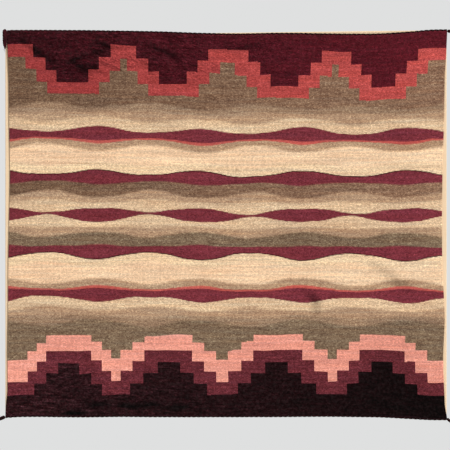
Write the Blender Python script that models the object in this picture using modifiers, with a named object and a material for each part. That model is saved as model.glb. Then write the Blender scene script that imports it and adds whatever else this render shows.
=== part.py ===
"""A tapestry-woven wool rug hung flat on a cloth-covered backing board.

Metres, +Z up, the rug's face towards -Y. The origin is the centre of the board's back face, where
the board meets the wall that holds it. The rug is one sheet with drawn-in sides and a sagging top
edge. A dark twined cord closes it at the top and the bottom, and the cord's yarn ends are knotted
at the four corners.
"""

from collections import namedtuple
from math import cos, exp, pi, radians, sin

import bmesh
import bpy
from mathutils import Vector

# Air between neighbouring pieces
GAP = 0.0003

# Backing board, a little out of square: its top edge rises to the right
BOARD_WIDTH = 1.192
BOARD_HEIGHT = 1.033
BOARD_DEPTH = 0.015
BOARD_TOP_SLOPE = 0.012
BOARD_ROUNDING = 0.002
BOARD_FRONT = -BOARD_DEPTH

# Rug: the straight lines that its edges are drawn in from, its thickness and its cage
EDGE_HALF_WIDTH = 0.596
EDGE_TOP = 0.526
EDGE_BOTTOM = -0.531
RUG_THICKNESS = 0.003
RUG_COLUMNS = 36
RUG_ROWS = 32

# Twined end cords: a bump for each twist
CORD_RADIUS = 0.0026
CORD_NECK = 0.74
CORD_PITCH = 0.013
CORD_ROOM = 2 * CORD_RADIUS + 2 * GAP
CORD_LEFT_TOP = -0.590
CORD_RIGHT_TOP = 0.5960
CORD_LEFT_BOTTOM = -0.5945
CORD_RIGHT_BOTTOM = 0.5945

# Near each end cord the rug stands off the board far enough for the cord's girth
END_LIFT = CORD_RADIUS - RUG_THICKNESS / 2
END_LIFT_REACH = 0.05

# Corner yarn ends: one lock in the middle and a ring of locks round it, fused at the knot
KNOT_RADIUS = 0.0052
LOCK_RADIUS = 0.0014
LOCK_TIP = 0.42
LOCK_RING = 0.0033
LOCKS_IN_RING = 6
LOCK_STEPS = 8
RING_TIP = 0.30

# How far each edge is drawn in from its straight line, at places along it
Stop = namedtuple("Stop", "along inset")
TOP_EDGE = (
    Stop(-0.596, 0.0030),
    Stop(-0.572, 0.0017),
    Stop(-0.394, 0.0020),
    Stop(-0.286, 0.0036),
    Stop(-0.178, 0.0055),
    Stop(-0.070, 0.0093),
    Stop(0.038, 0.0113),
    Stop(0.146, 0.0092),
    Stop(0.254, 0.0107),
    Stop(0.335, 0.0117),
    Stop(0.416, 0.0111),
    Stop(0.497, 0.0058),
    Stop(0.551, 0.0010),
    Stop(0.596, 0.0000),
)
BOTTOM_EDGE = (
    Stop(-0.596, 0.0066),
    Stop(-0.560, 0.0090),
    Stop(-0.500, 0.0095),
    Stop(-0.394, 0.0084),
    Stop(-0.286, 0.0096),
    Stop(-0.178, 0.0088),
    Stop(0.146, 0.0092),
    Stop(0.254, 0.0101),
    Stop(0.335, 0.0094),
    Stop(0.416, 0.0081),
    Stop(0.497, 0.0040),
    Stop(0.551, 0.0012),
    Stop(0.596, 0.0012),
)
LEFT_EDGE = (
    Stop(-0.520, 0.0015),
    Stop(-0.497, 0.0030),
    Stop(-0.462, 0.0067),
    Stop(-0.327, 0.0067),
    Stop(-0.250, 0.0083),
    Stop(-0.120, 0.0088),
    Stop(0.020, 0.0115),
    Stop(0.140, 0.0135),
    Stop(0.280, 0.0110),
    Stop(0.400, 0.0097),
    Stop(0.520, 0.0055),
)
RIGHT_EDGE = (
    Stop(-0.524, 0.0010),
    Stop(-0.497, 0.0060),
    Stop(-0.462, 0.0077),
    Stop(-0.383, 0.0110),
    Stop(-0.327, 0.0095),
    Stop(-0.259, 0.0065),
    Stop(-0.108, 0.0130),
    Stop(0.005, 0.0140),
    Stop(0.146, 0.0125),
    Stop(0.281, 0.0082),
    Stop(0.402, 0.0064),
    Stop(0.454, 0.0028),
    Stop(0.520, 0.0000),
)

# Soft swells of the hanging rug: centre, slope of the ridge, half length, half width and height
Swell = namedtuple("Swell", "x z slope reach width height")
SWELLS = (
    Swell(-0.535, 0.440, -52, 0.11, 0.040, 0.0020),
    Swell(-0.455, 0.400, -58, 0.13, 0.045, 0.0014),
    Swell(-0.300, 0.180, 84, 0.34, 0.085, 0.0016),
    Swell(0.070, 0.330, 92, 0.22, 0.090, 0.0022),
    Swell(0.150, -0.180, 78, 0.30, 0.100, 0.0014),
    Swell(0.490, 0.260, 97, 0.28, 0.070, 0.0024),
    Swell(0.420, -0.070, 12, 0.16, 0.060, 0.0018),
    Swell(-0.380, -0.330, 101, 0.20, 0.090, 0.0016),
    Swell(0.540, -0.450, 128, 0.14, 0.060, 0.0026),
)

# Knotted yarn ends: the side they are on, how far their knot hangs below the cord, the way they
# leave it, how far they bend down by their tips, their length and their girth
YarnEnd = namedtuple("YarnEnd", "name side drop heading bend length girth")
TOP_YARN_ENDS = (
    YarnEnd("yarn_end_top_left", -1, 0.001, -90, 0, 0.048, 1.0),
    YarnEnd("yarn_end_top_right", 1, 0.003, -4, 30, 0.040, 0.86),
)
BOTTOM_YARN_ENDS = (
    YarnEnd("yarn_end_bottom_left", -1, 0.0, -24, -20, 0.042, 0.94),
    YarnEnd("yarn_end_bottom_right", 1, 0.0, -40, 10, 0.013, 0.72),
)


def inset_at(edge, place):
    """How far an edge is drawn in at a place along it, on one smooth curve through its stops."""
    place = min(max(place, edge[0].along), edge[-1].along)
    last = len(edge) - 1
    start = next(i for i in range(last) if place <= edge[i + 1].along)

    def slope(i):
        before, after = edge[max(i - 1, 0)], edge[min(i + 1, last)]
        return (after.inset - before.inset) / (after.along - before.along)

    low, high = edge[start], edge[start + 1]
    span = high.along - low.along
    t = (place - low.along) / span
    return (
        low.inset * (1 + 2 * t) * (1 - t) ** 2
        + high.inset * (3 - 2 * t) * t**2
        + span * slope(start) * t * (1 - t) ** 2
        - span * slope(start + 1) * (1 - t) * t**2
    )


def top_line(x):
    return EDGE_TOP - inset_at(TOP_EDGE, x)


def bottom_line(x):
    return EDGE_BOTTOM + inset_at(BOTTOM_EDGE, x)


def ease(t):
    t = min(max(t, 0), 1)
    return t * t * (3 - 2 * t)


def swell_height(swell, x, z):
    """The height of one swell at a point of the rug, falling off along and across its ridge."""
    turn = radians(swell.slope)
    along = (x - swell.x) * cos(turn) + (z - swell.z) * sin(turn)
    across = (z - swell.z) * cos(turn) - (x - swell.x) * sin(turn)
    return swell.height * exp(-((along / swell.reach) ** 2) - (across / swell.width) ** 2)


def lift_at(x, z):
    """How far the rug's back stands off the face of the board, beyond the smallest gap."""
    to_end = min(top_line(x) - z, z - bottom_line(x))
    end_lift = END_LIFT * (1 - ease((to_end - CORD_ROOM) / END_LIFT_REACH))
    return end_lift + sum(swell_height(swell, x, z) for swell in SWELLS)


def rug_point(across, up):
    """A point of the rug's back, from 0 to 1 across it and up it."""
    level = EDGE_BOTTOM + (EDGE_TOP - EDGE_BOTTOM) * up
    left = -EDGE_HALF_WIDTH + inset_at(LEFT_EDGE, level)
    right = EDGE_HALF_WIDTH - inset_at(RIGHT_EDGE, level)
    x = left + (right - left) * across
    low, high = bottom_line(x) + CORD_ROOM, top_line(x) - CORD_ROOM
    z = low + (high - low) * up
    return Vector((x, BOARD_FRONT - GAP - lift_at(x, z), z))


def cord_point(x, edge_line, side):
    """The middle of an end cord, just past the rug's edge, level with the middle of the sheet."""
    z = edge_line(x) - side * CORD_RADIUS
    return Vector((x, BOARD_FRONT - GAP - lift_at(x, z) - RUG_THICKNESS / 2, z))


def linear(red, green, blue):
    """A screen colour of 0 to 255 as the linear values that a material holds."""
    return tuple((value / 255) ** 2.2 for value in (red, green, blue)) + (1,)


def make_material(name, colour, roughness):
    material = bpy.data.materials.new(name)
    material.use_nodes = True
    shader = material.node_tree.nodes["Principled BSDF"]
    shader.inputs["Base Color"].default_value = colour
    shader.inputs["Roughness"].default_value = roughness
    shader.inputs["Metallic"].default_value = 0
    material.diffuse_color = colour
    return material


def add_object(name, data, material, collection):
    thing = bpy.data.objects.new(name, data)
    data.materials.append(material)
    collection.objects.link(thing)
    return thing


def mesh_from(shape, name):
    mesh = bpy.data.meshes.new(name)
    shape.to_mesh(mesh)
    shape.free()
    return mesh


def make_board(collection):
    shape = bmesh.new()
    bmesh.ops.create_cube(shape, size=1)
    bmesh.ops.scale(shape, vec=(BOARD_WIDTH, BOARD_DEPTH, BOARD_HEIGHT), verts=shape.verts)
    for vert in shape.verts:
        if vert.co.z > 0:
            vert.co.z += BOARD_TOP_SLOPE * vert.co.x
    material = make_material("backing_cloth", linear(236, 206, 176), 0.9)
    board = add_object("backing_board", mesh_from(shape, "backing_board"), material, collection)
    board.location.y = BOARD_FRONT / 2
    rounding = board.modifiers.new("turned_edges", "BEVEL")
    rounding.width = BOARD_ROUNDING
    rounding.segments = 2


def make_rug(collection):
    shape = bmesh.new()
    bmesh.ops.create_grid(shape, x_segments=RUG_COLUMNS, y_segments=RUG_ROWS, size=0.5)
    for vert in shape.verts:
        vert.co = rug_point(vert.co.x + 0.5, vert.co.y + 0.5)
    material = make_material("rug_wool", linear(150, 112, 96), 0.95)
    rug = add_object("rug", mesh_from(shape, "rug"), material, collection)
    web = rug.modifiers.new("web", "SOLIDIFY")
    web.thickness = RUG_THICKNESS
    web.offset = 1
    rug.data.shade_smooth()


def make_end_cord(name, left, right, edge_line, side, collection):
    """A cord of twined yarns: a tube that swells at each twist and narrows between two."""
    curve = bpy.data.curves.new(name, "CURVE")
    curve.dimensions = "3D"
    curve.bevel_depth = CORD_RADIUS
    curve.bevel_resolution = 1
    curve.use_fill_caps = True
    twists = round((right - left) / CORD_PITCH)
    spline = curve.splines.new("POLY")
    spline.points.add(2 * twists)
    for i, point in enumerate(spline.points):
        x = left + (right - left) * i / (2 * twists)
        point.co = (*cord_point(x, edge_line, side), 1)
        point.radius = 1 if i % 2 else CORD_NECK
    material = make_material(name, linear(34, 18, 18), 0.9)
    add_object(name, curve, material, collection)


def lock_path(start, end, offset):
    """The route of one lock of yarn: out of the knot, bending down, its ring closing to the tip."""
    turn = radians(end.heading)
    side_step = Vector((-sin(turn), 0, cos(turn)))
    point = start.copy()
    route = []
    for i in range(LOCK_STEPS + 1):
        t = i / LOCK_STEPS
        swing = radians(end.heading - end.bend * t)
        ring = 1 + (RING_TIP - 1) * t**2
        spread = Vector((0, offset[0], 0)) + side_step * offset[1]
        route.append(point + end.girth * ring * spread)
        point = point + Vector((end.side * cos(swing), 0, sin(swing))) * end.length / LOCK_STEPS
    return route


def make_lock(name, route, girth, collection):
    """A tapered lock of four sides, made a closed mesh so that it can be fused to its knot."""
    curve = bpy.data.curves.new(name, "CURVE")
    curve.dimensions = "3D"
    curve.bevel_depth = LOCK_RADIUS * girth
    curve.bevel_resolution = 0
    curve.use_fill_caps = True
    spline = curve.splines.new("POLY")
    spline.points.add(len(route) - 1)
    for i, (point, place) in enumerate(zip(spline.points, route)):
        point.co = (*place, 1)
        point.radius = 1 + (LOCK_TIP - 1) * i / (len(route) - 1)
    guide = bpy.data.objects.new(name + "_route", curve)
    collection.objects.link(guide)
    graph = bpy.context.evaluated_depsgraph_get()
    mesh = bpy.data.meshes.new_from_object(guide.evaluated_get(graph))
    shape = bmesh.new()
    shape.from_mesh(mesh)
    bmesh.ops.remove_doubles(shape, verts=shape.verts, dist=0.00001)
    bmesh.ops.recalc_face_normals(shape, faces=shape.faces)
    shape.to_mesh(mesh)
    shape.free()
    lock = bpy.data.objects.new(name, mesh)
    collection.objects.link(lock)
    bpy.data.objects.remove(guide)
    lock.hide_render = True
    lock.display_type = "WIRE"
    return lock


def make_yarn_end(end, cord_end, collection, cutters):
    """The cord's yarn ends at one corner: a knot with locks fused to it."""
    knot_radius = KNOT_RADIUS * end.girth
    centre = Vector(
        (
            cord_end.x + end.side * (knot_radius + GAP),
            BOARD_FRONT - GAP - knot_radius,
            cord_end.z - end.drop,
        )
    )
    shape = bmesh.new()
    bmesh.ops.create_uvsphere(shape, u_segments=10, v_segments=7, radius=knot_radius)
    bmesh.ops.translate(shape, vec=centre, verts=shape.verts)
    material = make_material(end.name, linear(30, 16, 16), 0.92)
    knot = add_object(end.name, mesh_from(shape, end.name), material, collection)
    offsets = [(0, 0)]
    for i in range(LOCKS_IN_RING):
        turn = 2 * pi * (i + 0.5) / LOCKS_IN_RING
        offsets.append((LOCK_RING * cos(turn), LOCK_RING * sin(turn)))
    for i, offset in enumerate(offsets):
        route = lock_path(centre, end, offset)
        lock = make_lock(f"{end.name}_lock_{i}", route, end.girth, cutters)
        fuse = knot.modifiers.new(f"fuse_lock_{i}", "BOOLEAN")
        fuse.operation = "UNION"
        fuse.object = lock


def make_end(cord_name, left, right, edge_line, side, yarn_ends, collection, cutters):
    """One end of the rug: its cord, and the yarn ends past both ends of the cord."""
    make_end_cord(cord_name, left, right, edge_line, side, collection)
    for end in yarn_ends:
        cord_end = cord_point(left if end.side < 0 else right, edge_line, side)
        make_yarn_end(end, cord_end, collection, cutters)


def add_collection(name):
    collection = bpy.data.collections.new(name)
    bpy.context.scene.collection.children.link(collection)
    return collection


def main():
    for thing in list(bpy.data.objects):
        bpy.data.objects.remove(thing)
    collection = add_collection("hung_rug")
    cutters = add_collection("fused_locks")
    make_board(collection)
    make_rug(collection)
    make_end(
        "end_cord_top", CORD_LEFT_TOP, CORD_RIGHT_TOP, top_line, 1, TOP_YARN_ENDS, collection, cutters
    )
    make_end(
        "end_cord_bottom",
        CORD_LEFT_BOTTOM,
        CORD_RIGHT_BOTTOM,
        bottom_line,
        -1,
        BOTTOM_YARN_ENDS,
        collection,
        cutters,
    )


main()
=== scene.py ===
"""The looks of a tapestry-woven wool rug that hangs on a cloth-covered backing board."""

from collections import namedtuple
from math import cos, exp, pi, radians, sin, sqrt
from random import Random

import bmesh
import bpy
from mathutils import Matrix, Vector


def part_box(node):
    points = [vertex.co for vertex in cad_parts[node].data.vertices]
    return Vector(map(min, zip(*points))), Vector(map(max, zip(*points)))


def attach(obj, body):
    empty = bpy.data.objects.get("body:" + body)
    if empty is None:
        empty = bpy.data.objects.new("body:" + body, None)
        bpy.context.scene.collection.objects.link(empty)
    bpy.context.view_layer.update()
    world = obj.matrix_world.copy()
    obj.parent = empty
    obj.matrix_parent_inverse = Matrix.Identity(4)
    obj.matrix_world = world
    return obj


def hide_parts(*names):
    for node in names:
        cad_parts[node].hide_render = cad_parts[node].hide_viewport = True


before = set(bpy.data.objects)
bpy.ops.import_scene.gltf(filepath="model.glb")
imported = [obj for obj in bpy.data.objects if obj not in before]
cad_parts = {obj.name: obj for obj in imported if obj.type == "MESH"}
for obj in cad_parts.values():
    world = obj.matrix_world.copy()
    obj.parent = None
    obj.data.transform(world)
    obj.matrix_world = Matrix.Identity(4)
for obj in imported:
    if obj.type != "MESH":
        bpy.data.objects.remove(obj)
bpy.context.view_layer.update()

GAP = 0.0003

# Board and rug, as the frame holds them
BOARD_LOW, BOARD_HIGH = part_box("backing_board")
BOARD_FRONT = BOARD_LOW.y
EDGE_HALF_WIDTH = 0.596
EDGE_TOP = 0.526
EDGE_BOTTOM = -0.531
RUG_THICKNESS = 0.003
CORD_RADIUS = 0.0026
CORD_ROOM = 2 * CORD_RADIUS + 2 * GAP
END_LIFT = CORD_RADIUS - RUG_THICKNESS / 2
END_LIFT_REACH = 0.05

# Weave: one rib for each warp, and one bead where a weft passes over it
WARPS = 328
WEB_WIDTH = 1.180
WEB_HEIGHT = 1.036
WARP_PITCH = WEB_WIDTH / WARPS
BEAD_PITCH = 0.0012
PASS_PITCH = 2 * BEAD_PITCH
RIB_RELIEF = 0.00038
END_TUCK = 0.0018

# Rows of the web's mesh, closest together where it creases
RowZone = namedtuple("RowZone", "up rows")
ROW_ZONES = (
    RowZone(0.125, 26),
    RowZone(0.300, 4),
    RowZone(0.460, 13),
    RowZone(0.875, 7),
    RowZone(1.0, 23),
)

# How far each edge is drawn in from its straight line, at places along it
Stop = namedtuple("Stop", "along inset")
TOP_EDGE = (
    Stop(-0.596, 0.0030),
    Stop(-0.572, 0.0017),
    Stop(-0.394, 0.0020),
    Stop(-0.286, 0.0036),
    Stop(-0.178, 0.0055),
    Stop(-0.070, 0.0093),
    Stop(0.038, 0.0113),
    Stop(0.146, 0.0092),
    Stop(0.254, 0.0107),
    Stop(0.335, 0.0117),
    Stop(0.416, 0.0111),
    Stop(0.497, 0.0058),
    Stop(0.551, 0.0010),
    Stop(0.596, 0.0000),
)
BOTTOM_EDGE = (
    Stop(-0.596, 0.0066),
    Stop(-0.560, 0.0090),
    Stop(-0.500, 0.0095),
    Stop(-0.394, 0.0084),
    Stop(-0.286, 0.0096),
    Stop(-0.178, 0.0088),
    Stop(0.146, 0.0092),
    Stop(0.254, 0.0101),
    Stop(0.335, 0.0094),
    Stop(0.416, 0.0081),
    Stop(0.497, 0.0040),
    Stop(0.551, 0.0012),
    Stop(0.596, 0.0012),
)
LEFT_EDGE = (
    Stop(-0.520, 0.0015),
    Stop(-0.497, 0.0030),
    Stop(-0.462, 0.0067),
    Stop(-0.327, 0.0067),
    Stop(-0.250, 0.0083),
    Stop(-0.120, 0.0088),
    Stop(0.020, 0.0115),
    Stop(0.140, 0.0135),
    Stop(0.280, 0.0110),
    Stop(0.400, 0.0097),
    Stop(0.520, 0.0055),
)
RIGHT_EDGE = (
    Stop(-0.524, 0.0010),
    Stop(-0.497, 0.0060),
    Stop(-0.462, 0.0077),
    Stop(-0.383, 0.0110),
    Stop(-0.327, 0.0095),
    Stop(-0.259, 0.0065),
    Stop(-0.108, 0.0130),
    Stop(0.005, 0.0140),
    Stop(0.146, 0.0125),
    Stop(0.281, 0.0082),
    Stop(0.402, 0.0064),
    Stop(0.454, 0.0028),
    Stop(0.520, 0.0000),
)

# Soft swells of the hanging rug, and the finer creases that lie on them
Swell = namedtuple("Swell", "x z slope reach width height")
SWELLS = (
    Swell(-0.535, 0.440, -52, 0.11, 0.040, 0.0020),
    Swell(-0.455, 0.400, -58, 0.13, 0.045, 0.0014),
    Swell(-0.300, 0.180, 84, 0.34, 0.085, 0.0016),
    Swell(0.070, 0.330, 92, 0.22, 0.090, 0.0022),
    Swell(0.150, -0.180, 78, 0.30, 0.100, 0.0014),
    Swell(0.490, 0.260, 97, 0.28, 0.070, 0.0024),
    Swell(0.420, -0.070, 12, 0.16, 0.060, 0.0018),
    Swell(-0.380, -0.330, 101, 0.20, 0.090, 0.0016),
    Swell(0.540, -0.450, 128, 0.14, 0.060, 0.0026),
)
CREASES = (
    Swell(-0.512, 0.474, -34, 0.050, 0.0075, 0.0028),
    Swell(-0.404, 0.452, 20, 0.022, 0.0065, 0.0034),
    Swell(-0.388, 0.428, -30, 0.024, 0.0065, 0.0036),
    Swell(-0.352, 0.424, -22, 0.022, 0.0060, 0.0034),
    Swell(-0.345, 0.470, 12, 0.024, 0.0065, 0.0028),
    Swell(-0.318, 0.486, -16, 0.030, 0.0060, 0.0026),
    Swell(-0.180, 0.480, -22, 0.040, 0.0065, 0.0018),
    Swell(-0.158, 0.466, -24, 0.034, 0.0060, 0.0016),
    Swell(0.050, 0.484, 8, 0.060, 0.0080, 0.0016),
    Swell(-0.412, -0.503, 3, 0.028, 0.0060, 0.0042),
    Swell(-0.344, -0.480, 8, 0.026, 0.0065, 0.0032),
    Swell(-0.262, -0.485, -4, 0.030, 0.0065, 0.0034),
    Swell(-0.205, -0.480, 0, 0.026, 0.0060, 0.0032),
    Swell(-0.128, -0.488, 4, 0.030, 0.0065, 0.0034),
    Swell(0.190, -0.470, 10, 0.050, 0.0080, 0.0013),
    Swell(0.250, -0.203, -44, 0.036, 0.0110, 0.0060),
    Swell(0.430, -0.112, -16, 0.050, 0.0130, 0.0044),
    Swell(0.462, -0.142, -28, 0.040, 0.0120, 0.0040),
    Swell(0.430, -0.480, -12, 0.060, 0.0080, 0.0014),
)

# Stepped borders, in the web's own sizes: each terrace's middle, half the width of its last step
# and the run of its other steps
STEPS = 3
Terrace = namedtuple("Terrace", "middle reach run")
TOP_GROUND_TERRACES = (
    Terrace(-0.4172, 0.0420, 0.0308),
    Terrace(-0.1462, 0.0380, 0.0297),
    Terrace(0.1580, 0.0375, 0.0308),
    Terrace(0.4243, 0.0325, 0.0290),
)
TOP_OUTLINE_TERRACES = (
    Terrace(-0.4163, 0.0708, 0.0284),
    Terrace(-0.1440, 0.0668, 0.0294),
    Terrace(0.1526, 0.0689, 0.0313),
    Terrace(0.4230, 0.0624, 0.0289),
)
LOW_GROUND_TERRACES = (
    Terrace(-0.4253, 0.0290, 0.0317),
    Terrace(-0.1540, 0.0300, 0.0375),
    Terrace(0.1380, 0.0308, 0.0380),
    Terrace(0.4240, 0.0300, 0.0327),
)
LOW_BAND_TERRACES = (
    Terrace(-0.4230, 0.0614, 0.0265),
    Terrace(-0.1546, 0.0644, 0.0321),
    Terrace(0.1420, 0.0659, 0.0338),
    Terrace(0.4247, 0.0603, 0.0308),
)
TOP_TILT = 0.0116
LOW_TILT = 0.0060

# Stepped edges from the outermost yarn inwards: the height of the lowest step, what each step
# adds to it, and how much less the next one adds
Stair = namedtuple("Stair", "yarn terraces first rise sag")
TOP_STAIRS = (
    Stair("coral", TOP_OUTLINE_TERRACES, 0.0762, 0.0319, 0.0),
    Stair("top_ground", TOP_GROUND_TERRACES, 0.0412, 0.0328, 0.0),
)
LOW_STAIRS = (
    Stair("salmon", LOW_BAND_TERRACES, 0.1541, 0.0262, 0.0016),
    Stair("low_wine", LOW_BAND_TERRACES, 0.0945, 0.0277, 0.0),
    Stair("low_ground", LOW_GROUND_TERRACES, 0.0590, 0.0291, 0.0),
)
CLOSING_WEFTS = 0.0036

# Field of even wave bands, mirrored about its middle line: each yarn from one distance to another,
# with a soft change of lots where a gap is left
FIELD_MIDDLE = 0.5445
FIELD_REACH = 0.340
WAVE_PITCH = 0.279
WAVE_SWING = 0.0095
WAVE_TURN = 0.060
EDGE = 0.0001
LOWER_YARNS = {"brown": "low_brown"}
Stripe = namedtuple("Stripe", "yarn start stop")
STRIPES = (
    Stripe("wine", 0.0, 0.012),
    Stripe("cream", 0.012, 0.030),
    Stripe("tan", 0.037, 0.050),
    Stripe("brown", 0.056, 0.085),
    Stripe("wine", 0.085, 0.109),
    Stripe("dark_line", 0.109, 0.112),
    Stripe("pale", 0.112, 0.132),
    Stripe("peach", 0.140, 0.176),
    Stripe("tan", 0.184, 0.198),
    Stripe("coral_line", 0.198, 0.204),
    Stripe("wine", 0.204, 0.228),
    Stripe("cream", 0.228, 0.252),
    Stripe("tan", 0.260, 0.272),
    Stripe("grey_tan", 0.278, 0.288),
    Stripe("brown", 0.296, FIELD_REACH),
)

# Unevenness of the dyed and spun wool: how strong each kind of fleck and streak is
FLECKS = 1.5
FINE_FLECKS = 2.3
SINGLE_BEADS = 0.45
MOTTLES = 2.6
LONG_STREAKS = 0.30
SHORT_STREAKS = 0.24
CLOUDS = 0.10
WARMTH = 0.14
GREY_HAIRS = 0.018

# Painted shade in the hollow under each crease, which shows most in the dark yarns
CREASE_FULL = 0.0034
CREASE_SHADE_DARK = 2.4

# Wrinkles of the web near its ends
WRINKLE_HEIGHT = 0.0100
WRINKLE_MIDDLE = 0.340
WRINKLE_SPAN = 0.250
WRINKLE_REACH = 0.15
WRINKLE_FADE = 0.07

# Yarns: screen colours at the left and the right side, and how heathered the yarn is. The change from left to
# right is partly painted light, brighter towards the right in the upper yarns, and partly uneven dye lots,
# darker towards the right in the lower grounds
Yarn = namedtuple("Yarn", "left right heather")
YARNS = {
    "top_ground": Yarn((51, 19, 24), (92, 30, 39), 0.86),
    "coral": Yarn((153, 61, 61), (194, 83, 79), 0.44),
    "brown": Yarn((116, 90, 72), (143, 110, 89), 0.58),
    "low_brown": Yarn((127, 105, 85), (127, 105, 85), 0.58),
    "tan": Yarn((184, 150, 121), (182, 147, 118), 0.42),
    "grey_tan": Yarn((157, 128, 104), (157, 128, 104), 0.46),
    "cream": Yarn((223, 190, 154), (226, 192, 156), 0.35),
    "pale": Yarn((240, 207, 167), (242, 209, 171), 0.29),
    "peach": Yarn((246, 206, 168), (248, 211, 173), 0.24),
    "wine": Yarn((118, 51, 59), (124, 54, 63), 0.48),
    "coral_line": Yarn((195, 94, 86), (198, 91, 84), 0.22),
    "dark_line": Yarn((60, 20, 26), (60, 20, 26), 0.30),
    "salmon": Yarn((244, 162, 143), (233, 153, 135), 0.28),
    "low_wine": Yarn((103, 47, 54), (101, 45, 51), 0.60),
    "low_ground": Yarn((46, 24, 27), (18, 8, 9), 0.96),
    "closing": Yarn((66, 34, 40), (34, 20, 24), 0.50),
}

# How heathered the dark grounds still are at the right side
RIGHT_SHARE = {"top_ground": 0.62, "low_ground": 0.75}

# Board's cotton cover
COTTON_THREAD = 0.0009
COTTON_LIGHT = (255, 232, 196)
COTTON_DARK = (246, 206, 166)
TURNED_MARGIN = 0.060

# Side edges, where the wefts turn
TURN_SIDES = 8

# Twined end cords, laid close against the web
CORD_ENDS = {"top": (-0.590, 0.5960), "bottom": (-0.5945, 0.5945)}
CORD_TWIST = 0.026
CORD_STEPS = 14
CORD_CLOSE = 0.0005
STRAND_RADIUS = 0.00162
STRAND_OFFSET = 0.00105
CORD_PLY = 0.0022
CORD_DARK, CORD_LIGHT = (20, 9, 10), (70, 36, 36)
CORNER_DARK, CORNER_LIGHT = (38, 14, 18), (104, 44, 52)

# Knotted yarn ends: the way each leaves its knot, how far it bends down by its tip, and its size
KNOT_RADIUS = 0.0052
YarnEnd = namedtuple("YarnEnd", "name edge side drop heading bend length girth")
YARN_ENDS = (
    YarnEnd("top_left", "top", -1, 0.001, -90, 0, 0.048, 1.15),
    YarnEnd("top_right", "top", 1, 0.003, -4, 30, 0.040, 0.86),
    YarnEnd("bottom_left", "bottom", -1, 0.0, -24, -20, 0.042, 0.94),
    YarnEnd("bottom_right", "bottom", 1, 0.0, -40, 10, 0.013, 0.72),
)
PLIES = 5
PLY_PITCH = 0.034
PLY_STEPS = 22
BODY_RADIUS = 0.0053
TIP_RADIUS = 0.0019
YARN_BEVEL = 0.001
KNOT_WINDINGS = 3
WINDING_STEPS = 20
HAIRS = 14
HAIR_RADIUS = 0.00022

# Photograph's framing
PHOTO_SIDE = 450
METRES_PER_PIXEL = 0.0027
PHOTO_CENTRE = (225, 225)
ORIGIN_PIXEL = (226, 224)
CAMERA_DISTANCE = 3.4
SENSOR = 36

# Floor, room and light
FLOOR_LEVEL = -1.9
FLOOR_REACH = 7.2
ROOM_COLOUR = (222, 223, 223)
ROOM_GLOW = 0.39
LIGHT_FROM = (1.5, -1.4, 1.9)
LIGHT_POWER = 3.22
LIGHT_SPREAD = 12
LIGHT_COLOUR = (1, 0.985, 0.965)


def inset_at(edge, place):
    """How far an edge is drawn in at a place along it, on one smooth curve through its stops."""
    place = min(max(place, edge[0].along), edge[-1].along)
    last = len(edge) - 1
    start = next(i for i in range(last) if place <= edge[i + 1].along)

    def slope(i):
        before, after = edge[max(i - 1, 0)], edge[min(i + 1, last)]
        return (after.inset - before.inset) / (after.along - before.along)

    low, high = edge[start], edge[start + 1]
    span = high.along - low.along
    t = (place - low.along) / span
    return (
        low.inset * (1 + 2 * t) * (1 - t) ** 2
        + high.inset * (3 - 2 * t) * t**2
        + span * slope(start) * t * (1 - t) ** 2
        - span * slope(start + 1) * (1 - t) * t**2
    )


def top_line(x):
    return EDGE_TOP - inset_at(TOP_EDGE, x)


def bottom_line(x):
    return EDGE_BOTTOM + inset_at(BOTTOM_EDGE, x)


def ease(t):
    t = min(max(t, 0), 1)
    return t * t * (3 - 2 * t)


def swell_height(swell, x, z):
    turn = radians(swell.slope)
    along = (x - swell.x) * cos(turn) + (z - swell.z) * sin(turn)
    across = (z - swell.z) * cos(turn) - (x - swell.x) * sin(turn)
    return swell.height * exp(-((along / swell.reach) ** 2) - (across / swell.width) ** 2)


def end_lift_at(x, z):
    to_end = min(top_line(x) - z, z - bottom_line(x))
    return END_LIFT * (1 - ease((to_end - CORD_ROOM) / END_LIFT_REACH))


def lift_at(x, z, folds):
    """How far the rug's back stands off the face of the board, beyond the smallest gap."""
    return end_lift_at(x, z) + sum(swell_height(fold, x, z) for fold in folds)


def crease_shade_at(x, z):
    """How much painted shade a place gets in the hollow under a crease, about 1 at the deepest."""
    return sum(swell_height(crease, x, z + crease.width) for crease in CREASES) / CREASE_FULL


def web_point(across, up, tuck=0):
    """The x and z of a point of the web, from 0 to 1 across it and up it."""
    level = EDGE_BOTTOM + (EDGE_TOP - EDGE_BOTTOM) * up
    left = -EDGE_HALF_WIDTH + inset_at(LEFT_EDGE, level)
    right = EDGE_HALF_WIDTH - inset_at(RIGHT_EDGE, level)
    x = left + (right - left) * across
    low, high = bottom_line(x) + CORD_ROOM - tuck, top_line(x) - CORD_ROOM + tuck
    return x, low + (high - low) * up


def linear(colour):
    """A screen colour of 0 to 255 as linear values."""
    return tuple((value / 255) ** 2.2 for value in colour) + (1,)


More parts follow.
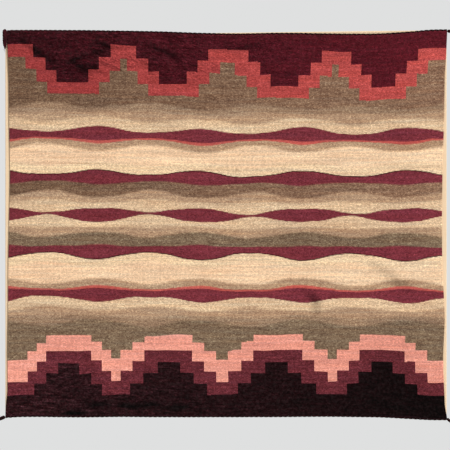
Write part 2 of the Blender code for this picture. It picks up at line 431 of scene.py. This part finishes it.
class Recipe:
    """One material's nodes. A value is a number, a colour or another node's output."""

    def __init__(self, name):
        self.material = bpy.data.materials.new(name)
        self.material.use_nodes = True
        self.tree = self.material.node_tree
        self.shader = self.tree.nodes["Principled BSDF"]

    def feed(self, socket, value):
        if isinstance(value, bpy.types.NodeSocket):
            self.tree.links.new(value, socket)
        else:
            socket.default_value = value

    def node(self, kind, **settings):
        made = self.tree.nodes.new(kind)
        for name, value in settings.items():
            setattr(made, name, value)
        return made

    def math(self, operation, *values):
        made = self.node("ShaderNodeMath", operation=operation)
        for socket, value in zip(made.inputs, values):
            self.feed(socket, value)
        return made.outputs[0]

    def total(self, *values):
        made = values[0]
        for value in values[1:]:
            made = self.math("ADD", made, value)
        return made

    def clamped(self, value, low=0.0, high=1.0):
        return self.math("MINIMUM", self.math("MAXIMUM", value, low), high)

    def blend(self, share, low, high):
        """A colour between two, by a share from 0 to 1."""
        made = self.node("ShaderNodeMix", data_type="RGBA")
        self.feed(made.inputs["Factor"], share)
        self.feed(made.inputs[6], low)
        self.feed(made.inputs[7], high)
        return made.outputs[2]

    def between(self, share, low, high):
        """A number between two, by a share from 0 to 1."""
        made = self.node("ShaderNodeMix", data_type="FLOAT")
        self.feed(made.inputs["Factor"], share)
        self.feed(made.inputs[2], low)
        self.feed(made.inputs[3], high)
        return made.outputs[0]

    def spread(self, value, low, high):
        """A value from 0 to 1 spread from low to high."""
        return self.math("MULTIPLY_ADD", value, high - low, low)

    def tinted(self, colour, *factors):
        """A colour with each of its three channels multiplied by its own factor."""
        made = self.node("ShaderNodeVectorMath", operation="MULTIPLY")
        self.feed(made.inputs[0], colour)
        self.feed(made.inputs[1], self.place(*factors))
        return made.outputs[0]

    def lifted(self, colour, red, rest):
        made = self.node("ShaderNodeVectorMath", operation="ADD")
        self.feed(made.inputs[0], colour)
        self.feed(made.inputs[1], self.place(red, rest, rest))
        return made.outputs[0]

    def place(self, x, y, z=0.0):
        made = self.node("ShaderNodeCombineXYZ")
        for socket, value in zip(made.inputs, (x, y, z)):
            self.feed(socket, value)
        return made.outputs[0]

    def noise(self, place, scale, detail=1.0, roughness=0.5):
        made = self.node("ShaderNodeTexNoise")
        self.feed(made.inputs["Vector"], place)
        self.feed(made.inputs["Scale"], scale)
        self.feed(made.inputs["Detail"], detail)
        self.feed(made.inputs["Roughness"], roughness)
        return made.outputs[0]

    def streaks(self, x, z, along, across, seed=0.0):
        """Noise drawn out along the wefts, as many to the metre each way as the two numbers say."""
        return self.noise(
            self.place(self.math("MULTIPLY", x, along), self.math("MULTIPLY", z, across), seed), 1.0, 2.0, 0.6
        )

    def chance(self, place):
        """One random number from 0 to 1 for each place."""
        made = self.node("ShaderNodeTexWhiteNoise", noise_dimensions="3D")
        self.feed(made.inputs["Vector"], place)
        return made.outputs["Value"]

    def split(self, place):
        parts = self.node("ShaderNodeSeparateXYZ")
        self.feed(parts.inputs[0], place)
        return place, parts.outputs

    def object_place(self):
        return self.split(self.node("ShaderNodeTexCoord").outputs["Object"])

    def own_place(self, attribute):
        return self.split(self.node("ShaderNodeAttribute", attribute_name=attribute).outputs["Vector"])

    def ramp(self, value, stops):
        """Colours along a value from 0 to 1, each stop a place and the colour there."""
        made = self.node("ShaderNodeValToRGB")
        self.feed(made.inputs[0], value)
        band = made.color_ramp
        for i, (start, colour) in enumerate(stops):
            element = band.elements[i] if i < 2 else band.elements.new(start)
            element.position = start
            element.color = colour
        return made.outputs[0]

    def bump(self, height, relief, strength=1.0, under=None):
        """The shading of a relief in metres, on top of another one's."""
        made = self.node("ShaderNodeBump")
        made.inputs["Distance"].default_value = relief
        made.inputs["Strength"].default_value = strength
        self.feed(made.inputs["Height"], height)
        if under:
            self.feed(made.inputs["Normal"], under)
        return made.outputs[0]

    def finish(self, colour, roughness, sheen, height, relief, strength=1.0, under=None):
        """The shader of a cloth or yarn, its relief in metres."""
        self.feed(self.shader.inputs["Base Color"], colour)
        self.feed(self.shader.inputs["Roughness"], roughness)
        self.shader.inputs["Specular IOR Level"].default_value = 0.08
        self.shader.inputs["Sheen Weight"].default_value = sheen
        self.shader.inputs["Sheen Roughness"].default_value = 0.5
        self.feed(self.shader.inputs["Normal"], self.bump(height, relief, strength, under))
        return self.material


def stair_level(r, x, stair):
    """The height of a stepped edge at a place across the web."""
    past = float(STEPS)
    for terrace in stair.terraces:
        reach = r.math("ABSOLUTE", r.math("SUBTRACT", x, terrace.middle))
        over = r.math("DIVIDE", r.math("SUBTRACT", reach, terrace.reach), terrace.run)
        past = r.math("MINIMUM", past, over)
    climb = r.clamped(r.math("SUBTRACT", STEPS, r.math("CEIL", past)), 0.0, STEPS)
    step = r.math("MULTIPLY_ADD", climb, -stair.sag, stair.rise)
    return r.math("MULTIPLY_ADD", climb, step, stair.first)


def stripe_stops(values):
    """Both ends of each stripe, as shares of the field's reach, with the stripe's own value."""
    stops = []
    for stripe, value in zip(STRIPES, values):
        stops.append((stripe.start / FIELD_REACH + EDGE, value))
        stops.append((stripe.stop / FIELD_REACH - EDGE, value))
    return stops


def field_zones(r, x, z, drift):
    """The field's colour and heather: even bands that swing in turn, mirrored top to bottom."""
    above = r.math("SUBTRACT", z, FIELD_MIDDLE)
    from_middle = r.math("ABSOLUTE", above)
    wave = r.math("SINE", r.math("MULTIPLY", x, 2 * pi / WAVE_PITCH))
    turn = r.math("COSINE", r.math("MULTIPLY", from_middle, pi / WAVE_TURN))
    swing = r.math("MULTIPLY", r.math("MULTIPLY", wave, turn), WAVE_SWING)
    place = r.math("DIVIDE", r.math("ADD", from_middle, swing), FIELD_REACH)
    upper = [YARNS[stripe.yarn] for stripe in STRIPES]
    lower = [YARNS[LOWER_YARNS.get(stripe.yarn, stripe.yarn)] for stripe in STRIPES]
    tones = []
    # Each band blends from its left to its right colour across the web, partly painted light brighter towards
    # the right
    for half in (lower, upper):
        left = r.ramp(place, stripe_stops([linear(yarn.left) for yarn in half]))
        right = r.ramp(place, stripe_stops([linear(yarn.right) for yarn in half]))
        tones.append(r.blend(drift, left, right))
    heather = r.ramp(place, stripe_stops([(yarn.heather,) * 3 + (1,) for yarn in upper]))
    return r.blend(r.math("GREATER_THAN", above, 0.0), *tones), heather


def wrinkles(r, place, across, up):
    """Small crumples of the web near its ends, most of them left of the middle."""
    to_end = r.math("MINIMUM", up, r.math("SUBTRACT", WEB_HEIGHT, up))
    near_end = r.clamped(r.math("DIVIDE", r.math("SUBTRACT", WRINKLE_REACH, to_end), WRINKLE_FADE))
    off_centre = r.math("ABSOLUTE", r.math("SUBTRACT", across, WRINKLE_MIDDLE))
    leftward = r.clamped(r.math("DIVIDE", r.math("SUBTRACT", WRINKLE_SPAN, off_centre), WRINKLE_FADE))
    patch = r.clamped(r.math("MULTIPLY_ADD", r.noise(place, 13.0, 1.0), 7.0, -2.8))
    share = r.math("MULTIPLY", r.math("MULTIPLY", near_end, patch), r.spread(leftward, 0.2, 1.0))
    slant = r.math("MULTIPLY_ADD", across, 0.3, up)
    bent = r.streaks(across, slant, 34.0, 80.0, 21.0)
    crumple = r.noise(place, 110.0, 1.0)
    return r.math("MULTIPLY", r.math("ADD", bent, r.math("MULTIPLY", crumple, 0.35)), share)


def pattern(r, x, z):
    """The web's colour and heather at a place, in metres from its middle and its lower end."""
    # From left to right each yarn moves from its left to its right colour: painted light brighter towards the
    # right in the upper yarns, uneven dye lots in the lower grounds
    drift = r.math("MULTIPLY_ADD", x, 1 / WEB_WIDTH, 0.5)
    colour, heather = field_zones(r, x, z, drift)
    share = r.math("DIVIDE", x, WEB_WIDTH)
    from_top = r.math("SUBTRACT", r.math("SUBTRACT", WEB_HEIGHT, z), r.math("MULTIPLY", share, TOP_TILT))
    from_low = r.math("SUBTRACT", z, r.math("MULTIPLY", share, LOW_TILT))
    layers = [(stair.yarn, from_top, stair_level(r, x, stair)) for stair in TOP_STAIRS]
    layers += [(stair.yarn, from_low, stair_level(r, x, stair)) for stair in LOW_STAIRS]
    layers.append(("closing", z, CLOSING_WEFTS))
    for name, distance, limit in layers:
        yarn = YARNS[name]
        inside = r.math("LESS_THAN", distance, limit)
        tone = r.blend(drift, linear(yarn.left), linear(yarn.right))
        colour = r.blend(inside, colour, tone)
        right = yarn.heather * RIGHT_SHARE.get(name, 1.0)
        heather = r.between(inside, heather, r.spread(drift, yarn.heather, right))
    return colour, heather


def woven_wool():
    """Weft-faced tapestry: colours change at whole warps and whole passes of weft."""
    r = Recipe("rug_wool")
    place, (across, up, _) = r.own_place("web_place")

    # Rows wander a little, as hand-beaten wefts do
    wander = r.spread(r.noise(place, 6.0, 2.0), -0.009, 0.009)
    level = r.math("ADD", up, wander)

    warp = r.math("DIVIDE", across, WARP_PITCH)
    warp_row = r.math("FLOOR", warp)
    in_warp = r.math("FRACT", warp)
    stagger = r.math("MULTIPLY", r.math("MODULO", warp_row, 2.0), 0.5)
    bead = r.math("ADD", r.math("DIVIDE", level, BEAD_PITCH), stagger)
    bead_row = r.math("FLOOR", bead)
    in_bead = r.math("FRACT", bead)

    warp_x = r.math("MULTIPLY_ADD", warp_row, WARP_PITCH, WARP_PITCH / 2 - WEB_WIDTH / 2)
    weft_pass = r.math("FLOOR", r.math("DIVIDE", level, PASS_PITCH))
    pass_z = r.math("MULTIPLY_ADD", weft_pass, PASS_PITCH, PASS_PITCH / 2)
    colour, heather = pattern(r, warp_x, pass_z)

    # Tone: flecks along each pass of weft, finer ones, single beads, and streaks of uneven dye
    flecks = r.spread(r.streaks(across, weft_pass, 140.0, 1.5), -FLECKS, FLECKS)
    fine = r.spread(r.streaks(across, bead_row, 250.0, 2.2, 4.0), -FINE_FLECKS, FINE_FLECKS)
    single = r.spread(r.chance(r.place(warp_row, bead_row)), -SINGLE_BEADS, SINGLE_BEADS)
    mottle = r.spread(r.streaks(across, up, 30.0, 170.0, 30.0), -MOTTLES, MOTTLES)
    dark_share = r.math("MULTIPLY", heather, heather)
    mottle = r.math("MULTIPLY", mottle, dark_share)
    own = r.math("MULTIPLY", r.total(flecks, fine, single, mottle), heather)
    long_streaks = r.spread(r.streaks(across, up, 3.0, 95.0, 8.0), -LONG_STREAKS, LONG_STREAKS)
    short_streaks = r.spread(r.streaks(across, up, 11.0, 330.0, 12.0), -SHORT_STREAKS, SHORT_STREAKS)
    cloud = r.spread(r.noise(place, 7.0, 2.0), -CLOUDS, CLOUDS)
    tone = r.total(own, long_streaks, short_streaks, cloud)
    warmth = r.spread(r.streaks(across, up, 6.0, 140.0, 16.0), -WARMTH, WARMTH)

    # Relief: each bead is round along and across the rib
    round_warp = r.math("SINE", r.math("MULTIPLY", in_warp, pi))
    round_bead = r.math("SINE", r.math("MULTIPLY", in_bead, pi))
    height = r.math("MULTIPLY", r.math("SQRT", round_bead), r.math("SQRT", round_warp))
    # Painted shade between the beads and a faint painted highlight on their tops, following the bead relief
    painted_bead_shade = r.spread(height, -0.42, 0.12)
    # Painted shade in the hollow under each crease, strongest in the dark yarns
    crease_shade = r.node("ShaderNodeAttribute", attribute_name="hollow").outputs["Fac"]
    crease_shade = r.math("MULTIPLY", crease_shade, dark_share)
    hollow = r.math("MULTIPLY_ADD", crease_shade, -CREASE_SHADE_DARK, painted_bead_shade)
    # Each channel's factor takes the tone and warmth, and the painted shade between beads and under creases
    factors = []
    for weight, warm in ((1.0, warmth), (1.2, 0.0), (1.2, r.math("MULTIPLY", warmth, -1.0))):
        shift = r.total(r.math("MULTIPLY", tone, weight), warm, hollow)
        factors.append(r.math("EXPONENT", shift))
    height = r.math("ADD", height, r.math("MULTIPLY", r.noise(place, 2600.0, 1.0), 0.35))

    # Grey hairs lie among the wool, and show most in the dark yarns
    grey = r.noise(place, 110.0, 2.0, 0.65)
    grey = r.math("MAXIMUM", r.spread(grey, -GREY_HAIRS, GREY_HAIRS), -0.003)
    grey = r.math("MULTIPLY", grey, heather)
    colour = r.lifted(r.tinted(colour, *factors), grey, r.math("MULTIPLY", grey, 0.8))
    crumples = r.bump(wrinkles(r, place, across, up), WRINKLE_HEIGHT)
    return r.finish(colour, 0.95, 0.02, height, 0.0004, 0.8, crumples)


def spun_wool():
    """Dark spun yarn with paler hairs, redder at the top left corner."""
    r = Recipe("cord_wool")
    place, (x, _, z) = r.object_place()
    hairs = r.noise(place, 900.0, 2.0, 0.6)
    lots = r.noise(place, 60.0, 1.0)
    ply = r.math("SINE", r.math("MULTIPLY", r.math("ADD", x, z), 2 * pi / CORD_PLY))
    share = r.clamped(r.total(r.spread(hairs, -0.9, 1.3), r.spread(lots, -0.25, 0.25)))
    height = r.math("ADD", r.math("MULTIPLY", ply, 0.35), hairs)
    leftward = r.clamped(r.math("MULTIPLY_ADD", x, -3.0, -0.8))
    redder = r.math("MULTIPLY", leftward, r.math("GREATER_THAN", z, 0.0))
    dark = r.blend(redder, linear(CORD_DARK), linear(CORNER_DARK))
    light = r.blend(redder, linear(CORD_LIGHT), linear(CORNER_LIGHT))
    return r.finish(r.blend(share, dark, light), 0.95, 0.02, height, 0.0004)


def backing_cloth():
    """Plain-woven cotton over the board's face and edges, turned over in a margin on its back."""
    r = Recipe("backing_cloth")
    place, (x, y, z) = r.object_place()
    along = r.math("MULTIPLY", r.math("ADD", x, y), pi / COTTON_THREAD)
    upright = r.math("MULTIPLY", r.math("SUBTRACT", z, y), pi / COTTON_THREAD)
    weave = r.math("MULTIPLY", r.math("SINE", along), r.math("SINE", upright))
    slub = r.streaks(r.math("ADD", x, y), z, 30.0, 420.0)
    soil = r.noise(place, 6.0, 3.0)
    share = r.clamped(r.total(r.spread(slub, 0.0, 0.5), r.spread(soil, -0.1, 0.5)))
    cotton = r.blend(share, linear(COTTON_LIGHT), linear(COTTON_DARK))

    # On the back the bare board shows inside the turned margin, its cut edge a little uneven
    to_side = r.math("SUBTRACT", BOARD_HIGH.x, r.math("ABSOLUTE", x))
    to_end = r.math("SUBTRACT", BOARD_HIGH.z, r.math("ABSOLUTE", z))
    inward = r.math("MINIMUM", to_side, to_end)
    cut = r.spread(r.noise(place, 22.0, 2.0), TURNED_MARGIN - 0.008, TURNED_MARGIN + 0.008)
    bare = r.math("MULTIPLY", r.math("GREATER_THAN", inward, cut), r.math("GREATER_THAN", y, -0.001))
    mitre = r.math("ABSOLUTE", r.math("SUBTRACT", to_side, to_end))
    fold = r.math("LESS_THAN", mitre, 0.0012)
    fold = r.math("MULTIPLY", fold, r.math("GREATER_THAN", y, -0.001))
    fibres = r.noise(place, 420.0, 3.0, 0.7)
    pulp = r.blend(fibres, linear((150, 124, 94)), linear((190, 166, 134)))
    # Painted shade between the cotton's threads, and a dark line along the mitred fold on the back
    dimming = r.between(fold, r.spread(r.math("ABSOLUTE", weave), 0.94, 1.0), 0.55)
    colour = r.blend(bare, r.tinted(cotton, dimming, dimming, dimming), pulp)
    height = r.between(bare, r.math("ADD", weave, slub), fibres)
    return r.finish(colour, 0.9, 0.05, height, 0.0002)


def dress(piece, material, slot_name, *nodes):
    """Gives a piece its material, its place in the frame and the nodes that it stands for."""
    piece.data.materials.clear()
    piece.data.materials.append(material)
    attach(piece, "root")
    if nodes:
        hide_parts(*nodes)
    return piece


def add_mesh(name, shape):
    mesh = bpy.data.meshes.new(name)
    shape.to_mesh(mesh)
    shape.free()
    piece = bpy.data.objects.new(name, mesh)
    bpy.context.scene.collection.objects.link(piece)
    mesh.shade_smooth()
    return piece


def row_levels():
    """How far up the web each row of its mesh lies, from 0 to 1."""
    levels, start = [0.0], 0.0
    for zone in ROW_ZONES:
        levels += [start + (zone.up - start) * (i + 1) / zone.rows for i in range(zone.rows)]
        start = zone.up
    return levels


def make_web(material):
    """The woven sheet, with a rib for each warp, on the swells and creases of the hanging rug."""
    levels = row_levels()
    rows = len(levels) - 1
    shape = bmesh.new()
    places = shape.verts.layers.float_vector.new("web_place")
    crease_shade_layer = shape.verts.layers.float.new("hollow")
    bmesh.ops.create_grid(shape, x_segments=2 * WARPS, y_segments=rows, size=0.5)
    for vert in shape.verts:
        across, up = vert.co.x + 0.5, levels[round((vert.co.y + 0.5) * rows)]
        x, z = web_point(across, up, END_TUCK)
        crest = RIB_RELIEF * (1 - cos(2 * pi * across * WARPS)) / 2
        vert.co = (x, BOARD_FRONT - GAP - lift_at(x, z, SWELLS + CREASES) - crest, z)
        vert[places] = (across * WEB_WIDTH, up * WEB_HEIGHT, 0)
        # Painted shade under the creases, kept on each vertex for the wool's colour
        vert[crease_shade_layer] = crease_shade_at(x, z)
    piece = add_mesh("woven_rug", shape)
    body = piece.modifiers.new("body", "SOLIDIFY")
    body.thickness = RUG_THICKNESS - RIB_RELIEF
    body.offset = 1
    return dress(piece, material, "rug_wool", "rug")


def make_side_turns(side, material):
    """The rounded side edge, where each pass of weft turns round the outermost warps."""
    across = 0.5 + side * 0.5
    own_across = WEB_WIDTH * across - side * WARP_PITCH / 2
    radius = RUG_THICKNESS / 2
    rings = 2 * round(WEB_HEIGHT / PASS_PITCH)
    shape = bmesh.new()
    places = shape.verts.layers.float_vector.new("web_place")
    ring = bmesh.ops.create_circle(shape, cap_ends=False, segments=TURN_SIDES, radius=radius)["verts"]
    edges = list({edge for vert in ring for edge in vert.link_edges})
    for i in range(rings + 1):
        up = i / rings
        x, z = web_point(across, up, END_TUCK)
        y = BOARD_FRONT - GAP - lift_at(x, z, SWELLS + CREASES) - radius
        girth = 1.12 if i % 2 else 0.8
        middle = Vector((x - side * radius * 0.6, y, z))
        for k, vert in enumerate(ring):
            turn = 2 * pi * k / TURN_SIDES
            vert.co = middle + Vector((cos(turn), sin(turn), 0)) * radius * girth
            vert[places] = (own_across, up * WEB_HEIGHT, 0)
        if i < rings:
            before = {tuple(vert.co): k for k, vert in enumerate(ring)}
            grown = bmesh.ops.extrude_edge_only(shape, edges=edges)["geom"]
            ring = [item for item in grown if isinstance(item, bmesh.types.BMVert)]
            ring.sort(key=lambda vert: before[tuple(vert.co)])
            edges = [item for item in grown if isinstance(item, bmesh.types.BMEdge)]
            edges = [edge for edge in edges if all(vert in ring for vert in edge.verts)]
    bmesh.ops.holes_fill(shape, edges=[edge for edge in shape.edges if edge.is_boundary], sides=0)
    bmesh.ops.recalc_face_normals(shape, faces=shape.faces)
    piece = add_mesh("side_turns_left" if side < 0 else "side_turns_right", shape)
    return dress(piece, material, "rug_wool")


def add_curve(name):
    curve = bpy.data.curves.new(name, "CURVE")
    curve.dimensions = "3D"
    curve.use_fill_caps = True
    curve.bevel_depth = YARN_BEVEL
    curve.bevel_resolution = 2
    piece = bpy.data.objects.new(name, curve)
    bpy.context.scene.collection.objects.link(piece)
    return piece


def add_yarn(curve, route, radii, closed=False):
    """One strand along a route, with a radius in metres at each place."""
    spline = curve.splines.new("POLY")
    spline.points.add(len(route) - 1)
    for point, place, radius in zip(spline.points, route, radii):
        point.co = (*place, 1)
        point.radius = radius / YARN_BEVEL
    spline.use_cyclic_u = closed
    spline.use_smooth = True


def cord_middle(x, edge):
    """The middle of an end cord at a place along it, close against the web's edge."""
    z = top_line(x) - CORD_RADIUS if edge == "top" else bottom_line(x) + CORD_RADIUS
    y = BOARD_FRONT - GAP - lift_at(x, z, SWELLS) - RUG_THICKNESS / 2
    return Vector((x, y, z - CORD_CLOSE if edge == "top" else z + CORD_CLOSE))


def make_end_cord(edge, material):
    """Two yarns twined round each other along one end of the rug."""
    left, right = CORD_ENDS[edge]
    piece = add_curve("twined_cord_" + edge)
    steps = round((right - left) / CORD_TWIST * CORD_STEPS)
    chance = Random(edge)
    for strand in range(2):
        route, radii = [], []
        for i in range(steps + 1):
            x = left + (right - left) * i / steps
            turn = 2 * pi * (x - left) / CORD_TWIST + strand * pi
            offset = Vector((0, sin(turn), cos(turn))) * STRAND_OFFSET
            route.append(cord_middle(x, edge) + offset)
            radii.append(STRAND_RADIUS * chance.uniform(0.92, 1.06))
        add_yarn(piece.data, route, radii)
    return dress(piece, material, "cord_wool", "end_cord_" + edge)


def rounded_tip(u, start):
    """How thick a strand still is at a share of its length, rounded off past the start of its tip."""
    return sqrt(max(1 - (max(u - start, 0) / (1 - start)) ** 2, 0.03))


def make_knot(curve, centre, knot):
    """A ball of yarn with windings round it."""
    steps = [i / 5 for i in range(-5, 6)]
    route = [centre + Vector((0, 0, knot * step)) for step in steps]
    add_yarn(curve, route, [0.9 * knot * sqrt(max(1 - step * step, 0.02)) for step in steps])
    strand = 0.34 * knot
    for i in range(KNOT_WINDINGS):
        plane = Matrix.Rotation(0.9 * i - 0.7, 3, "Z") @ Matrix.Rotation(0.8 * i + 0.3, 3, "X")
        turns = [2 * pi * k / WINDING_STEPS for k in range(WINDING_STEPS)]
        route = [centre + plane @ Vector((cos(turn), sin(turn), 0)) * (knot - strand) for turn in turns]
        add_yarn(curve, route, [strand] * WINDING_STEPS, closed=True)


def make_yarn_end(end, material):
    """The cord's yarn ends at one corner: a knot, and plied yarn that leaves it and bends down."""
    start = cord_middle(CORD_ENDS[end.edge][end.side > 0], end.edge)
    knot = KNOT_RADIUS * end.girth
    z = start.z - end.drop
    centre = Vector((start.x + end.side * (knot + GAP), BOARD_FRONT - GAP - knot, z))
    piece = add_curve("knotted_yarn_" + end.name)
    make_knot(piece.data, centre, knot)
    chance = Random(end.name)

    # Body: its middle line, its radius and the way it runs at each step from the knot to the tip
    stations = []
    point = centre.copy()
    for i in range(PLY_STEPS + 1):
        t = i / PLY_STEPS
        turn = radians(end.heading - end.bend * t)
        way = Vector((end.side * cos(turn), 0, sin(turn)))
        radius = end.girth * (TIP_RADIUS + (BODY_RADIUS - TIP_RADIUS) * (1 - t**4))
        stations.append((point.copy(), way, radius))
        point = point + way * end.length / PLY_STEPS
    core = [0.6 * radius * rounded_tip(i / PLY_STEPS, 0.85) for i, (_, _, radius) in enumerate(stations)]
    add_yarn(piece.data, [place for place, _, _ in stations], core)
    for ply in range(PLIES):
        last = PLY_STEPS - chance.randrange(4)
        route, radii = [], []
        for i, (place, way, radius) in enumerate(stations[: last + 1]):
            around = 2 * pi * (ply / PLIES + end.length * i / PLY_STEPS / PLY_PITCH)
            aside = Vector((-way.z, 0, way.x)) * cos(around) + Vector((0, 1, 0)) * sin(around)
            route.append(place + aside * radius * 0.6)
            radii.append(0.42 * radius * chance.uniform(0.94, 1.05) * rounded_tip(i / last, 0.8))
        add_yarn(piece.data, route, radii)

    # Frayed hairs near the tip
    for _ in range(HAIRS):
        place, way, radius = stations[PLY_STEPS - chance.randrange(7)]
        fling = Vector((chance.uniform(-1, 1), chance.uniform(-0.8, 0.2), chance.uniform(-1, 1)))
        heading = (way + fling * 0.7).normalized()
        length = chance.uniform(0.004, 0.009)
        droop = Vector((0, 0, -0.25))
        route = [place + (heading * s + droop * s * s) * length for s in (0, 0.35, 0.7, 1)]
        add_yarn(piece.data, route, [HAIR_RADIUS, HAIR_RADIUS, 0.8 * HAIR_RADIUS, 0.4 * HAIR_RADIUS])
    return dress(piece, material, "cord_wool", "yarn_end_" + end.name)


def make_rug():
    """The web, its side turns, its end cords and its yarn ends."""
    wool = woven_wool()
    cord = spun_wool()
    web = make_web(wool)
    trims = [make_side_turns(side, wool) for side in (-1, 1)]
    trims += [make_end_cord(edge, cord) for edge in CORD_ENDS]
    trims += [make_yarn_end(end, cord) for end in YARN_ENDS]


def cover_board():
    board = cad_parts["backing_board"]
    board.data.materials.clear()
    board.data.materials.append(backing_cloth())


def make_stage():
    """A pale floor below the rug and a pale room round it."""
    shape = bmesh.new()
    bmesh.ops.create_grid(shape, x_segments=1, y_segments=1, size=FLOOR_REACH)
    bmesh.ops.translate(shape, vec=(0, 0, FLOOR_LEVEL), verts=shape.verts)
    floor = add_mesh("floor", shape)
    r = Recipe("floor_paint")
    place, _ = r.object_place()
    tone = r.spread(r.noise(place, 3.0, 2.0), 0.97, 1.0)
    r.feed(r.shader.inputs["Base Color"], r.tinted((0.78, 0.78, 0.77), tone, tone, tone))
    r.shader.inputs["Roughness"].default_value = 0.8
    floor.data.materials.append(r.material)

    # The room looks pale, and lights the rug more softly than it looks
    world = bpy.data.worlds.new("pale_room")
    world.use_nodes = True
    bpy.context.scene.world = world
    tree = world.node_tree
    seen = tree.nodes["Background"]
    seen.inputs["Color"].default_value = linear(ROOM_COLOUR)
    glow = tree.nodes.new("ShaderNodeBackground")
    glow.inputs["Strength"].default_value = ROOM_GLOW
    glow.inputs["Color"].default_value = (1, 1, 1, 1)
    ray = tree.nodes.new("ShaderNodeLightPath")
    choice = tree.nodes.new("ShaderNodeMixShader")
    tree.links.new(ray.outputs["Is Camera Ray"], choice.inputs[0])
    tree.links.new(glow.outputs[0], choice.inputs[1])
    tree.links.new(seen.outputs[0], choice.inputs[2])
    tree.links.new(choice.outputs[0], tree.nodes["World Output"].inputs["Surface"])


def add_light():
    """One broad soft light from the upper right."""
    light = bpy.data.lights.new("daylight", "SUN")
    light.energy = LIGHT_POWER
    light.angle = radians(LIGHT_SPREAD)
    light.color = LIGHT_COLOUR
    lamp = bpy.data.objects.new("daylight", light)
    lamp.rotation_euler = (-Vector(LIGHT_FROM)).to_track_quat("-Z", "Y").to_euler()
    bpy.context.scene.collection.objects.link(lamp)


def make_camera():
    """Face on, with the photograph's framing."""
    data = bpy.data.cameras.new("camera")
    data.sensor_width = SENSOR
    data.lens = SENSOR * CAMERA_DISTANCE / (PHOTO_SIDE * METRES_PER_PIXEL)
    camera = bpy.data.objects.new("camera", data)
    x = (PHOTO_CENTRE[0] - ORIGIN_PIXEL[0]) * METRES_PER_PIXEL
    z = (ORIGIN_PIXEL[1] - PHOTO_CENTRE[1]) * METRES_PER_PIXEL
    camera.location = (x, BOARD_FRONT - CAMERA_DISTANCE, z)
    camera.rotation_euler = (radians(90), 0, 0)
    bpy.context.scene.collection.objects.link(camera)
    bpy.context.scene.camera = camera


bpy.context.scene.view_settings.view_transform = "Standard"
make_camera()
make_stage()
add_light()
make_rug()
cover_board()
